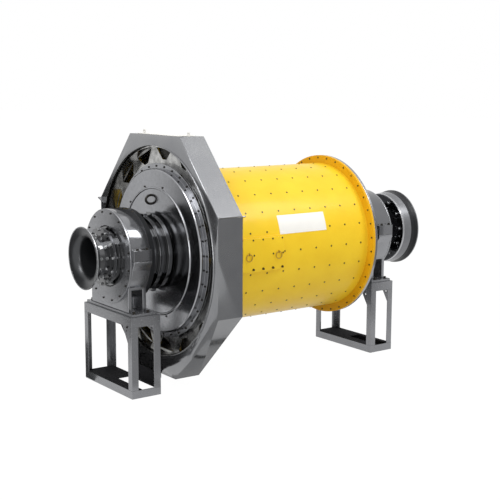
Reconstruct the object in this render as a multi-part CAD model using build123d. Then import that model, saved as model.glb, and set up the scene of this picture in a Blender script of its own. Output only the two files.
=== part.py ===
"""Overflow ball mill: a flanged steel drum with cast heads, turning in two trunnion bearings.

Lengths are in millimetres. The mill axis lies along X, and the feed end with the girth gear is at -X.
Pieces are first made about the middle of the drum, with the mill axis at Z = 0, and are then
moved so that the origin is on the floor under the middle of the whole machine.
"""
import os
from math import atan2, cos, degrees, hypot, pi, radians, sin, tan

from build123d import *

# Drum: rolled shell, bolting flanges and liner plates
shell_radius = 1200.0
shell_wall = 30.0
shell_length = 3084.0
flange_height = 130.0
flange_thickness = 45.0
liner_wall = 60.0
liner_joint = 10.0

# Cast heads: bolting rim, raised boss and ridge ring
head_wall = 70.0
head_taper = 60.0
boss_step = 80.0
boss_height = 80.0
boss_bevel = 16.0
ridge_step = 270.0
ridge_width = 34.0
ridge_height = 16.0
ridge_slope = 8.0

# Hollow trunnions: journal, stepped collars, neck and end flange
journal_radius = 500.0
journal_setback = 53.0
trunnion_wall = 90.0
trunnion_end_wall = 60.0
root_fillet = 44.0
collar_steps = ((-5.0, 10.0), (20.0, 22.0), (50.0, 34.0), (60.0, 76.0))
neck_wall = 57.0
neck_length = 148.0
neck_flange_rise = 55.0
neck_flange_thickness = 22.0
mouth_gasket = 1.0

# Mouths: one tube through each trunnion, a bell at the feed end, a wide screen ring at the other
throat_radius = 290.0
tube_wall = 28.0
tube_ring_width = 30.0
mouth_wall = 14.0
feed_neck_length = 167.0
bell_length = 116.0
bell_rise = 143.0
bell_sweep = 72.0
bell_points = 7
discharge_neck_length = 253.0
screen_rise = 278.0
screen_length = 175.0
screen_taper = 23.0
screen_back_plate = 20.0
lip_length = 129.0
lip_rise = 26.0
lip_edge = 21.0

# Split clamp rings on the trunnions
ring_stand_off = 45.0
ring_width = 65.0
ring_gap = 80.0
inner_ring_wall = 66.0
outer_ring_wall = 60.0
lug_half_width = 90.0
lug_rise = 34.0
lug_depth = 34.0

# Trunnion bearings
bearing_gap = 156.0
seal_width = 90.0
seal_step = 20.0
running_clearance = 0.08
ring_clearance = 12.0
bush_wall = 45.0
bush_setback = 60.0
housing_wall = 155.0
housing_width = 300.0
split_overhang = 45.0
split_flange_up = 165.0
split_flange_down = 45.0
split_flange_depth = 145.0
cover_thickness = 30.0
pedestal_step = 140.0
pedestal_waist = 300.0
pedestal_foot = 69.0
pedestal_plate = 60.0
pocket_depth = 250.0
pocket_top = 440.0
pocket_fall = 150.0

# Bearing stands
sole_thickness = 40.0
sole_inset = 32.0
stand_setback = 43.0
stand_side_margin = 92.0
stand_end_margin = 165.0
stand_plate = 14.0
post_width = 110.0
head_beam_depth = 145.0
sill_depth = 120.0
sill_flange = 80.0
deck_plate = 20.0
access_width = 220.0
access_setback = 182.0
access_start = 40.0
splash_height = 193.0
gusset_width = 150.0
gusset_height = 240.0
gusset_hole_radius = 16.0
gusset_hole_inset = 38.0
gusset_hole_drop = 60.0
anchor_hole_radius = 15.0
anchor_inset = 50.0

# Girth gear
gear_module = 20.0
pressure_angle = 20.0
gear_reach = 310.0
gear_face = 330.0
gear_rim = 40.0
gear_web = 40.0
gear_arms = 16
arm_phase = 101.0
arm_tip_half_angle = 2.6
arm_root_half_angle = 9.0
window_step = 52.0
joint_pad_depth = 80.0
joint_pad_thickness = 45.0
joint_pad_inset = 25.0

# Guard round the girth gear: the gap from the gear's tips to each face, and the slanted faces' directions
guard_top_gap = 94.0
guard_shoulder_gap = 51.5
guard_side_gap = 39.0
guard_hip_gap = 77.8
guard_bottom_gap = 226.0
guard_shoulder_angle = 42.25
guard_hip_angle = -45.63
guard_sheet = 8.0
guard_depth = 420.0
guard_lead = 87.0
guard_opening_step = 60.0
guard_back_gap = 65.0
guard_lip = 24.0
split_rail_rise = 60.0
split_rail_width = 16.0
top_cover_half = 570.0
top_cover_inset = 50.0
top_cover_rise = 10.0
top_lug_place = 632.0
top_lug_width = 56.0
top_lug_height = 60.0
top_lug_thickness = 16.0
top_lug_hole = 15.0
foot_height = 125.0
front_foot_width = 100.0
front_foot_start = 20.0
front_foot_end = 557.0
rear_foot_half = 340.0
rear_foot_width = 180.0

# Lifting eye on the feed head
eye_clearance = 141.0
eye_shift = 66.0
eye_radius = 75.0
eye_wire = 18.0
eye_stand_off = 30.0
eye_lug_half = 24.0

# Manhole
manhole_x = -586.0
manhole_length = 810.0
manhole_height = 550.0
manhole_corner = 60.0
manhole_border = 22.0
manhole_frame_rise = 24.0
manhole_cover_rise = 26.0
handle_place = 275.0
handle_radius = 34.0
handle_wire = 7.0
handle_staple = 18.0

flange_radius = shell_radius + flange_height
shell_bore = shell_radius - shell_wall
drum_end = shell_length / 2 + flange_thickness
head_flange_face = drum_end + flange_thickness
head_face = head_flange_face + boss_height
head_seat = head_face - head_wall
boss_radius = flange_radius - boss_step
ridge_radius = boss_radius - ridge_step

ring_start = head_face + ring_stand_off
housing_inner = ring_start + 2 * ring_width + ring_gap + bearing_gap + seal_width
housing_outer = housing_inner + housing_width
housing_bore = journal_radius + bush_wall
housing_radius = housing_bore + housing_wall
pedestal_half = housing_radius - pedestal_step
pedestal_depth = housing_radius + pedestal_foot
journal_end = housing_outer - journal_setback
tube_radius = throat_radius + tube_wall
neck_radius = tube_radius + neck_wall
neck_flange_radius = neck_radius + neck_flange_rise
neck_end = journal_end + neck_length + neck_flange_thickness
mouth_face = neck_end + mouth_gasket + neck_flange_thickness
feed_reach = mouth_face + feed_neck_length + bell_length
discharge_reach = mouth_face + discharge_neck_length + screen_length + lip_length + lip_edge
drum_x = (feed_reach - discharge_reach) / 2

gear_teeth = round(2 * (flange_radius + gear_reach) / gear_module)
gear_pitch_radius = gear_module * gear_teeth / 2
gear_tip = gear_pitch_radius + gear_module
gear_root = gear_pitch_radius - 1.25 * gear_module
gear_rim_bore = gear_root - gear_rim
gear_middle = -shell_length / 2 + gear_web / 2

guard_front = -head_flange_face - guard_lead
guard_back = guard_front + guard_depth
guard_opening = gear_tip - guard_opening_step
guard_back_opening = shell_radius + guard_back_gap
guard_top = gear_tip + guard_top_gap
guard_bottom = -gear_tip - guard_bottom_gap
guard_faces = ((90.0, guard_top_gap), (guard_shoulder_angle, guard_shoulder_gap), (0.0, guard_side_gap),
               (guard_hip_angle, guard_hip_gap), (-90.0, guard_bottom_gap))

axis_height = foot_height - guard_bottom
floor = -axis_height
sole_top = -pedestal_depth
stand_top = sole_top - sole_thickness
stand_middle = (housing_inner + housing_outer) / 2 - stand_setback
stand_half_x = housing_width / 2 + stand_side_margin
stand_half_y = pedestal_half + stand_end_margin


def turned(points):
    """Turns an outline of (x, radius) points about the mill axis."""
    outline = Plane.XZ * Polygon(*points, align=None)
    return revolve(outline, Axis.X, 360)


def tube(x0, x1, inner, outer):
    """Returns a plain ring between two places along the mill axis."""
    return turned([(x0, inner), (x1, inner), (x1, outer), (x0, outer)])


def disc(x0, x1, radius):
    """Returns a solid round between two places along the mill axis."""
    return tube(x0, x1, 0, radius)


def block(x0, x1, y0, y1, z0, z1):
    """Returns a rectangular block between two corners."""
    return Pos((x0 + x1) / 2, (y0 + y1) / 2, (z0 + z1) / 2) * Box(abs(x1 - x0), abs(y1 - y0), abs(z1 - z0))


def cross_plate(points, x0, x1):
    """Returns a plate whose outline of (y, z) points faces along the mill axis."""
    outline = Plane.YZ * Polygon(*points, align=None)
    return Pos(x0, 0, 0) * extrude(outline, x1 - x0, dir=(1, 0, 0))


def at_end(shape, side):
    """Turns what was made for the discharge end round to the feed end, where side is -1."""
    return mirror(shape, Plane.YZ) if side < 0 else shape


nodes = {}


def keep(name, *shapes):
    """Moves finished shapes into the part's frame and files them under a node's name."""
    placed = [Pos(drum_x, 0, axis_height) * shape for shape in shapes]
    solids = [solid for shape in placed for solid in shape.solids()]
    nodes[name] = Compound(children=solids) if len(solids) > 1 else solids[0]


def make_shell():
    """The drum's rolled shell with its two flanges, and the liner plates of shell and heads."""
    half = shell_length / 2
    keep("drum_shell", tube(-half, half, shell_bore, shell_radius))
    for name, side in (("feed", -1), ("discharge", 1)):
        keep(f"{name}_shell_flange", at_end(tube(half, drum_end, shell_bore, flange_radius), side))
    liner_bore = shell_bore - liner_wall
    head_liner = tube(head_seat - liner_wall, head_seat, journal_radius, liner_bore - liner_joint)
    keep("drum_liner", tube(-drum_end, drum_end, liner_bore, shell_bore), head_liner, at_end(head_liner, -1))


def make_head(name, side):
    """A cast head: bolting rim, raised boss with a bevelled edge, ridge ring, and the trunnion's seat."""
    ridge_bore = ridge_radius - ridge_width
    outline = [
        (head_seat, journal_radius), (head_face, journal_radius),
        (head_face, ridge_bore), (head_face + ridge_height, ridge_bore + ridge_slope),
        (head_face + ridge_height, ridge_radius - ridge_slope), (head_face, ridge_radius),
        (head_face, boss_radius - boss_bevel), (head_face - boss_bevel, boss_radius),
        (head_flange_face, boss_radius), (head_flange_face, flange_radius),
        (drum_end, flange_radius), (drum_end, shell_bore),
        (head_seat, shell_bore - head_taper),
    ]
    keep(f"{name}_head", at_end(turned(outline), side))


def make_trunnion(name, side):
    """A hollow trunnion: journal with a root fillet, stepped collars, and a neck with an end flange."""
    bore = journal_radius - trunnion_wall
    fillet_middle = 0.3 * root_fillet
    outline = [
        (head_seat, bore), (head_seat, journal_radius), (head_face, journal_radius),
        (head_face, journal_radius + root_fillet),
        (head_face + fillet_middle, journal_radius + fillet_middle),
        (head_face + root_fillet, journal_radius), (journal_end, journal_radius),
    ]
    place = journal_end
    for drop, reach in collar_steps:
        outline += [(place, journal_radius - drop), (journal_end + reach, journal_radius - drop)]
        place = journal_end + reach
    flange_start = neck_end - neck_flange_thickness
    outline += [
        (place, neck_radius), (flange_start, neck_radius), (flange_start, neck_flange_radius),
        (neck_end, neck_flange_radius), (neck_end, tube_radius),
        (journal_end - trunnion_end_wall, tube_radius), (journal_end - trunnion_end_wall, bore),
    ]
    keep(f"{name}_trunnion", at_end(turned(outline), side))


def make_clamp_rings(name, side):
    """Two split rings clamped round the journal, each with a bolting lug at its top and its bottom."""
    rings = []
    place = ring_start
    for wall in (inner_ring_wall, outer_ring_wall):
        radius = journal_radius + wall
        lug = block(place, place + ring_width, -lug_half_width, lug_half_width, radius - lug_depth, radius + lug_rise)
        rings.append(tube(place, place + ring_width, journal_radius, radius) + lug + Rot(180, 0, 0) * lug)
        place += ring_width + ring_gap
    keep(f"{name}_trunnion_rings", *[at_end(ring, side) for ring in rings])


def make_bearing(name, side):
    """A trunnion bearing: pedestal and cap split at the axis, cover, seal ring, bush and sole plate."""
    far = 2 * housing_radius
    half_width = housing_radius + split_overhang
    bore = disc(housing_inner - 1, housing_outer + 1, housing_bore)
    body = disc(housing_inner, housing_outer, housing_radius)

    cap = body & block(housing_inner, housing_outer, -far, far, 0, far)
    for y in (-half_width, half_width):
        cap = cap + block(housing_inner, housing_outer, y, y - split_flange_depth * y / half_width, 0, split_flange_up)
    keep(f"{name}_bearing_cap", at_end(cap - bore, side))

    profile = [
        (-half_width, 0), (-half_width, -split_flange_down), (-pedestal_half, -pedestal_waist),
        (-pedestal_half, sole_top), (pedestal_half, sole_top), (pedestal_half, -pedestal_waist),
        (half_width, -split_flange_down), (half_width, 0),
    ]
    pedestal = cross_plate(profile, housing_inner, housing_outer)
    pedestal = pedestal + (body & block(housing_inner, housing_outer, -far, far, -far, 0))
    for direction in (-1, 1):
        outer = direction * (pedestal_half + 1)
        inner = direction * (pedestal_half - pocket_depth)
        pocket = [(outer, sole_top - 1), (outer, -pocket_top), (inner, -pocket_top - pocket_fall), (inner, sole_top - 1)]
        pedestal = pedestal - cross_plate(pocket, housing_inner + pedestal_plate, housing_outer - pedestal_plate)
    keep(f"{name}_bearing_pedestal", at_end(pedestal - bore, side))

    last_drop = collar_steps[-1][0]
    keep(f"{name}_bearing_cover", at_end(
        tube(housing_outer, housing_outer + cover_thickness, journal_radius - last_drop + ring_clearance,
             housing_radius), side))
    keep(f"{name}_bearing_seal", at_end(
        tube(housing_inner - seal_width, housing_inner, journal_radius + ring_clearance,
             housing_radius - seal_step), side))
    keep(f"{name}_bearing_bush", at_end(
        tube(housing_inner, housing_outer - bush_setback, journal_radius + running_clearance, housing_bore), side))

    half_x, half_y = stand_half_x - sole_inset, stand_half_y - sole_inset
    sole = block(stand_middle - half_x, stand_middle + half_x, -half_y, half_y, stand_top, sole_top)
    keep(f"{name}_sole_plate", at_end(sole, side))


def make_stand(name, side):
    """A welded stand: four angle posts between a head frame and a decked sill, with corner gussets.

    The deck's access hole lies towards +X at both ends. The feed stand is open under its deck on the
    drum's side, and a splash plate stands there on the deck.
    """
    x0, x1 = stand_middle - stand_half_x, stand_middle + stand_half_x
    y1 = stand_half_y
    beam_bottom = stand_top - head_beam_depth
    sill_top = floor + sill_depth
    inner_x0, inner_x1, inner_y = x0 + stand_plate, x1 - stand_plate, y1 - stand_plate

    posts = []
    for sx, x in ((1, x0), (-1, x1)):
        for sy, y in ((1, -y1), (-1, y1)):
            across = block(x, x + sx * post_width, y, y + sy * stand_plate, sill_top, beam_bottom)
            along = block(x, x + sx * stand_plate, y, y + sy * post_width, sill_top, beam_bottom)
            posts.append(across + along)
    keep(f"{name}_stand_posts", *[at_end(post, side) for post in posts])

    outer = block(x0, x1, -y1, y1, beam_bottom, stand_top)
    inner = block(inner_x0, inner_x1, -inner_y, inner_y, beam_bottom - 1, stand_top - deck_plate)
    keep(f"{name}_stand_head_frame", at_end(outer - inner, side))

    sill = block(x0, x1, -y1, y1, floor, sill_top)
    sill = sill - block(inner_x0, inner_x1, -inner_y, inner_y, floor + deck_plate, sill_top - stand_plate)
    sill = sill - block(x0 + sill_flange, x1 - sill_flange, -y1 + sill_flange, y1 - sill_flange,
                        floor - 1, floor + deck_plate + 1)
    access_x = x0 + access_setback if side > 0 else x1 - access_setback - access_width
    sill = sill - block(access_x, access_x + access_width, -inner_y, access_start,
                        sill_top - 2 * stand_plate, sill_top + 1)
    if side < 0:
        leg_y = y1 - post_width
        sill = sill - block(x0 - 1, x0 + sill_flange + 1, -leg_y, leg_y, floor - 1, sill_top - stand_plate)
        sill = sill + block(x0, inner_x0, -leg_y, access_start, sill_top - stand_plate, sill_top + splash_height)
    for x in (x0 + anchor_inset, x1 - anchor_inset):
        for y in (-y1 + anchor_inset, y1 - anchor_inset):
            sill = sill - Pos(x, y, floor + deck_plate / 2) * Cylinder(anchor_hole_radius, 2 * deck_plate)
    keep(f"{name}_stand_sill", at_end(sill, side))

    gussets = []
    corner = -y1 + post_width
    outline = [(corner, beam_bottom), (corner + gusset_width, beam_bottom), (corner, beam_bottom - gusset_height)]
    for x in (x0, x1 - stand_plate):
        hole = Pos(x, corner + gusset_hole_inset, beam_bottom - gusset_hole_drop) * Rot(0, 90, 0) * Cylinder(
            gusset_hole_radius, 4 * stand_plate)
        gussets.append(at_end(cross_plate(outline, x, x + stand_plate) - hole, side))
    keep(f"{name}_stand_gussets", *gussets)


def guard_corners(inset):
    """Corner points (y, z) of the guard's outline, where neighbouring faces meet, moved in by an inset."""
    lines = [(radians(angle), gear_tip + gap - inset) for angle, gap in guard_faces]
    right = []
    for (a, d), (b, e) in zip(lines, lines[1:]):
        right.append(((d * sin(b) - e * sin(a)) / sin(b - a), (e * cos(a) - d * cos(b)) / sin(b - a)))
    return right + [(-y, z) for y, z in reversed(right)]


def make_guard():
    """The gear guard: an eight-sided sheet casing with a split hood, top cover, lugs and base beams."""
    casing = cross_plate(guard_corners(0), guard_front, guard_back)
    casing = casing - cross_plate(guard_corners(guard_sheet), guard_front + guard_sheet, guard_back - guard_sheet)
    casing = casing - disc(guard_front - 1, guard_front + guard_sheet + 1, guard_opening)
    casing = casing - disc(guard_back - guard_sheet - 1, guard_back + 1, guard_back_opening)
    casing = casing + tube(guard_front - guard_lip, guard_front + guard_sheet, guard_opening,
                           guard_opening + guard_sheet)

    split_y, split_z = guard_corners(0)[1]
    sector = [(0, 0), (2 * split_y, 2 * split_z), (2 * split_y, 2 * guard_top),
              (-2 * split_y, 2 * guard_top), (-2 * split_y, 2 * split_z)]
    upper = cross_plate(sector, guard_front - guard_depth, guard_back + guard_depth)
    keep("guard_hood", casing & upper)
    keep("guard_casing", casing - upper)

    slope = degrees(atan2(split_z, split_y))
    rail_end = hypot(split_y, split_z) - guard_sheet
    half_width = split_rail_width / 2
    front = block(guard_front - split_rail_rise, guard_front, guard_opening + 2 * guard_sheet, rail_end,
                  -half_width, half_width)
    back = block(guard_back, guard_back + split_rail_rise, guard_back_opening + guard_sheet, rail_end,
                 -half_width, half_width)
    keep("guard_split_rails", Rot(slope, 0, 0) * front, Rot(slope, 0, 0) * back, Rot(180 - slope, 0, 0) * back)

    keep("guard_top_cover", block(guard_front + top_cover_inset, guard_back - top_cover_inset,
                                  -top_cover_half, top_cover_half, guard_top, guard_top + top_cover_rise))

    middle = (guard_front + guard_back) / 2
    lug = block(middle - top_lug_thickness / 2, middle + top_lug_thickness / 2, -top_lug_width / 2,
                top_lug_width / 2, guard_top, guard_top + top_lug_height)
    hole = Pos(middle, 0, guard_top + top_lug_height - top_lug_width / 2) * Rot(0, 90, 0) * Cylinder(
        top_lug_hole, 2 * top_lug_thickness)
    keep("guard_lifting_lugs", *[Pos(0, y, 0) * (lug - hole) for y in (-top_lug_place, top_lug_place)])

    front = block(guard_front, guard_front + front_foot_width, front_foot_start, front_foot_end, floor, guard_bottom)
    rear = block(guard_back - rear_foot_width, guard_back, -rear_foot_half, rear_foot_half, floor, guard_bottom)
    keep("guard_feet", front, rear)


def make_gear():
    """The girth gear in two halves: toothed rim, windowed web with tapered arms, and bolted joint pads."""
    x0, x1 = gear_middle - gear_face / 2, gear_middle + gear_face / 2
    web_x0, web_x1 = gear_middle - gear_web / 2, gear_middle + gear_web / 2
    web = tube(web_x0, web_x1, shell_radius, gear_rim_bore)
    windows = []
    for index in range(gear_arms):
        centre = radians(arm_phase + (index + 0.5) * 360 / gear_arms)
        root_angle = pi / gear_arms - radians(arm_root_half_angle)
        tip_angle = pi / gear_arms - radians(arm_tip_half_angle)
        corners = []
        for radius, angle in ((flange_radius + window_step, -root_angle), (flange_radius + window_step, root_angle),
                              (gear_rim_bore, tip_angle), (gear_rim_bore, -tip_angle)):
            corners.append((-radius * cos(centre + angle), radius * sin(centre + angle)))
        windows.append(cross_plate(corners, web_x0 - 1, web_x1 + 1))

    thickness = pi * gear_module / 4
    flank = tan(radians(pressure_angle))
    root_half = thickness + flank * (gear_pitch_radius - gear_root)
    tip_half = thickness - flank * gear_module
    outline = [(-root_half, gear_root - 1), (root_half, gear_root - 1), (tip_half, gear_tip), (-tip_half, gear_tip)]
    tooth = cross_plate(outline, x0, x1)
    teeth = [Rot((index + 0.5) * 360 / gear_teeth, 0, 0) * tooth for index in range(gear_teeth)]
    gear = tube(x0, x1, gear_rim_bore, gear_root) + (web - windows) + teeth
    for side in (-1, 1):
        gear = gear + block(x0 + joint_pad_inset, x1 - joint_pad_inset, side * (gear_rim_bore - joint_pad_depth),
                            side * (gear_rim_bore + 1), -joint_pad_thickness, joint_pad_thickness)
    far = 2 * gear_tip
    keep("girth_gear_upper_half", gear & block(x0, x1, -far, far, 0, far))
    keep("girth_gear_lower_half", gear & block(x0, x1, -far, far, -far, 0))


def mouth_inside():
    """Outline points of the tube that lines a trunnion, from its throat back to the bolting flange."""
    trunnion_bore = journal_radius - trunnion_wall
    return [
        (head_seat, throat_radius), (head_seat, trunnion_bore), (head_seat + tube_ring_width, trunnion_bore),
        (head_seat + tube_ring_width, tube_radius), (neck_end, tube_radius), (neck_end, neck_flange_radius),
        (mouth_face, neck_flange_radius), (mouth_face, tube_radius),
    ]


def bell_curve(start, radius, rise):
    """Points along a bell that leaves a tube in line with it and swells to a rim."""
    end = radians(bell_sweep)
    curve = []
    for index in range(bell_points):
        angle = end * index / (bell_points - 1)
        curve.append((start + bell_length * sin(angle) / sin(end), radius + rise * (1 - cos(angle)) / (1 - cos(end))))
    return curve


def make_mouths():
    """The feed mouth with its bell, and the discharge mouth with its wide, lipped screen ring."""
    bell_start = mouth_face + feed_neck_length
    outside = bell_curve(bell_start, tube_radius, bell_rise)
    inside = bell_curve(bell_start, throat_radius, bell_rise + tube_wall - mouth_wall)
    keep("feed_mouth", at_end(turned(mouth_inside() + outside + inside[::-1]), -1))

    back = mouth_face + discharge_neck_length
    body_end = back + screen_length
    lip_end = body_end + lip_length
    radius = tube_radius + screen_rise
    wide = radius + screen_taper
    outline = mouth_inside() + [
        (back, tube_radius), (back, radius), (body_end, wide), (body_end + lip_length / 2, wide + lip_rise / 4),
        (lip_end, wide + lip_rise), (discharge_reach, wide + lip_rise),
        (discharge_reach, wide + lip_rise - mouth_wall), (lip_end, wide + lip_rise - mouth_wall),
        (body_end + lip_length / 2, wide + lip_rise / 4 - mouth_wall), (body_end, wide - mouth_wall),
        (back + screen_back_plate, radius - mouth_wall), (back + screen_back_plate, throat_radius),
    ]
    keep("discharge_mouth", turned(outline))


def make_manhole():
    """The bolted manhole on the shell: curved frame, curved cover, and two ring handles on staples."""
    frame_top = shell_radius + manhole_frame_rise
    cover_top = frame_top + manhole_cover_rise

    def curved(length, height, inner, outer):
        """A rounded rectangle seen from the side, bent round the drum between two radii."""
        outline = Plane.XZ * RectangleRounded(length, height, manhole_corner)
        prism = extrude(outline, 2 * outer, dir=(0, -1, 0))
        return Pos(manhole_x, 0, 0) * (tube(-length, length, inner, outer) & prism)

    keep("manhole_frame", curved(manhole_length, manhole_height, shell_radius, frame_top))
    keep("manhole_cover", curved(manhole_length - 2 * manhole_border, manhole_height - 2 * manhole_border,
                                 frame_top, cover_top))
    handles = []
    bar = Plane.XZ * Pos(handle_radius, 0) * RegularPolygon(handle_wire, 8)
    for x in (manhole_x - handle_place, manhole_x + handle_place):
        ring = Pos(x, -cover_top - handle_staple / 2, 0) * Rot(90, 0, 0) * revolve(bar, Axis.Z, 360)
        staple = block(x - handle_staple / 2, x + handle_staple / 2, -cover_top - handle_staple, -frame_top,
                       handle_radius - handle_staple, handle_radius + handle_staple)
        handles.append(ring + (staple - disc(manhole_x - manhole_length, manhole_x + manhole_length, cover_top)))
    keep("manhole_handles", *handles)


def make_eye():
    """The lifting eye on the feed head: a ring that stands out from a lug on the head's face."""
    height = journal_radius + inner_ring_wall + eye_clearance + eye_radius + eye_wire
    lug_face = -head_face - eye_stand_off - eye_wire - eye_lug_half / 2
    lug = block(lug_face, -head_face, -eye_shift - eye_lug_half, -eye_shift + eye_lug_half,
                height - eye_lug_half, height + eye_lug_half)
    ring = Pos(-head_face - eye_stand_off - eye_radius, -eye_shift, height) * Rot(90, 0, 0) * Torus(
        eye_radius, eye_wire)
    keep("head_lifting_eye", lug + ring)


make_shell()
for end_name, end_side in (("feed", -1), ("discharge", 1)):
    make_head(end_name, end_side)
    make_trunnion(end_name, end_side)
    make_clamp_rings(end_name, end_side)
    make_bearing(end_name, end_side)
    make_stand(end_name, end_side)
make_guard()
make_gear()
make_mouths()
make_manhole()
make_eye()

os.makedirs("parts", exist_ok=True)
for node_name, node_shape in nodes.items():
    export_step(node_shape, f"parts/{node_name}.step")
    box = node_shape.bounding_box()
    print(node_name, len(node_shape.solids()), [round(v) for v in (*box.min, *box.max)])
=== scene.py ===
"""Dresses the overflow ball mill: enamelled drum, cast heads, bearings, guard and stands, with their fasteners.

Shapes are worked out in the mill frame: millimetres, X along the mill axis from the middle of the
drum, and Z = 0 on the axis. to_part() takes them to the part's frame in metres.
"""

import logging
from dataclasses import dataclass
from enum import Enum
from math import radians

import bmesh
import bpy
import numpy as np
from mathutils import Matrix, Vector


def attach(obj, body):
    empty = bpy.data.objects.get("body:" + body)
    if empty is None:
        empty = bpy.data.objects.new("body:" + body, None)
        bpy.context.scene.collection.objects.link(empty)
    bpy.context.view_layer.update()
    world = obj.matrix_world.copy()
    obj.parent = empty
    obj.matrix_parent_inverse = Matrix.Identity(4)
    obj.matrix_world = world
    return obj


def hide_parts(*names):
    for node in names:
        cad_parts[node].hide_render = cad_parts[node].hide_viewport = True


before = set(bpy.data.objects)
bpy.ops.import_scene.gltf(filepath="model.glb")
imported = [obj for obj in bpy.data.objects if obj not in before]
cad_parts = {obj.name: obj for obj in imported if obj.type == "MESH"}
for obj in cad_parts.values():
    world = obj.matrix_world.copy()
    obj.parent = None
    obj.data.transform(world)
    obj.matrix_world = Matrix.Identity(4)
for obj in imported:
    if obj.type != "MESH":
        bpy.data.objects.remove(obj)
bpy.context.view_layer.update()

log = logging.getLogger("ball_mill")

Pair = tuple[float, float]
Triple = tuple[float, float, float]

MILL_ORIGIN = np.array([-147.5, 0.0, 2011.0])
ALL_ROUND = 2 * np.pi
# Steps round the drum and heads, and round the other rings.
DRUM_STEPS = 240
RING_STEPS = 200
# Angles in degrees: an edge that turns more than a crease is shaded sharp, faces within FLAT are merged,
# a folded edge turns more than FOLD, and a bevel takes the edges that turn more than BEVEL_FROM.
DRAWN_CREASE = 35.0
COPIED_CREASE = 32.0
FLAT = 0.3
FOLD = 20.0
BEVEL_FROM = 40.0
# CAD corners closer than this many metres are one, and a corner this many millimetres off a plane is on it.
SAME_PLACE = 2e-5
ON_PLANE = 0.5


class Side(Enum):
    """The two ends of the mill, and the way each faces along X."""

    FEED = -1
    DISCHARGE = 1


class Body(Enum):
    """The CAD bodies that pieces ride on."""

    FRAME = "frame"
    DRUM = "drum"


# Shapes


@dataclass
class Shape:
    """Points in the mill frame and the polygons between them, as whole arrays."""

    points: np.ndarray
    faces: list[np.ndarray]

    def at(self, side: Side) -> "Shape":
        """The shape at one end: as drawn at the discharge end, mirrored with its faces outwards at the feed end."""
        mirrored = Shape(self.points * [-1, 1, 1], [face[:, ::-1] for face in self.faces])
        return mirrored if side is Side.FEED else self


def joined(shapes: list[Shape]) -> Shape:
    """Joins several shapes into one.

    Args:
        shapes: The shapes, which keep their own faces.

    Returns:
        One shape with the points of all of them.
    """
    starts = np.cumsum([0] + [len(shape.points) for shape in shapes[:-1]])
    faces = [face + start for shape, start in zip(shapes, starts) for face in shape.faces]
    return Shape(np.concatenate([shape.points for shape in shapes]), faces)


def to_part(points: np.ndarray) -> np.ndarray:
    """Takes points from the mill frame in millimetres to the part's frame in metres."""
    return (points + MILL_ORIGIN) / 1000


def unit(vectors: np.ndarray) -> np.ndarray:
    """The same directions at length 1, one in each row."""
    return vectors / np.linalg.norm(vectors, axis=-1, keepdims=True)


def grid_faces(rows: int, columns: int, wrap_rows: bool, wrap_columns: bool) -> np.ndarray:
    """Quads of a grid of points: each joins point (i, j) to its next row and next column.

    Args:
        rows: Number of points in the first direction.
        columns: Number of points in the second direction.
        wrap_rows: Whether the last row joins the first.
        wrap_columns: Whether the last column joins the first.

    Returns:
        An array of four indices for each quad.
    """
    i = np.arange(rows if wrap_rows else rows - 1)[:, None]
    j = np.arange(columns if wrap_columns else columns - 1)[None, :]
    i2, j2 = (i + 1) % rows, (j + 1) % columns
    quads = [i * columns + j, i2 * columns + j, i2 * columns + j2, i * columns + j2]
    return np.stack([quad + 0 * (i + j) for quad in quads], -1).reshape(-1, 4)


def eased(outline: np.ndarray, radius: float, steps: int = 4) -> np.ndarray:
    """Rounds each corner of a closed outline.

    Each corner P becomes the curve (1-t)^2 A + 2t(1-t) P + t^2 C, where A and C lie on the two
    edges at the rounding radius from P, or at 0.45 of the shorter edge.

    Args:
        outline: Corner points, one row each.
        radius: How far from its corner each curve starts.
        steps: Number of runs along each curve.

    Returns:
        The points of the eased outline.
    """
    back = np.roll(outline, 1, 0) - outline
    ahead = np.roll(outline, -1, 0) - outline
    shorter = np.minimum(*(np.linalg.norm(run, axis=1, keepdims=True) for run in (back, ahead)))
    cut = np.minimum(radius, 0.45 * shorter)
    start, end = ((outline + unit(run) * cut)[:, None] for run in (back, ahead))
    t = np.linspace(0, 1, steps + 1)[None, :, None]
    curve = (1 - t) ** 2 * start + 2 * t * (1 - t) * outline[:, None] + t**2 * end
    return curve.reshape(-1, 2)


def turned(outline: list[Pair], rounding: float = 3.0, segments: int = 160) -> Shape:
    """Turns a closed outline of (x, radius) points about the mill axis.

    The surface is P(i, t) = (x_i, -r_i cos t, r_i sin t).

    Args:
        outline: Corners of the section, in either direction.
        rounding: Rounding of each corner in millimetres.
        segments: Number of steps round the axis.

    Returns:
        The closed surface with its faces outwards.
    """
    profile = eased(np.array(outline, float), rounding)
    x, r = profile.T
    area = np.sum(x * np.roll(r, -1) - np.roll(x, -1) * r)
    if area > 0:
        x, r = x[::-1], r[::-1]
    t = np.linspace(0, ALL_ROUND, segments, endpoint=False)[None, :]
    x, r = x[:, None], r[:, None]
    points = np.stack([x + 0 * t, -r * np.cos(t), r * np.sin(t)], -1).reshape(-1, 3)
    return Shape(points, [grid_faces(len(profile), segments, True, True)])


def hoop(x: Pair, radius: Pair, rounding: float, segments: int = RING_STEPS) -> Shape:
    """A ring of rectangular section, between two places along the mill axis and two radii."""
    (x0, x1), (r0, r1) = x, radius
    return turned([(x0, r0), (x1, r0), (x1, r1), (x0, r1)], rounding, segments)


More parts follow.
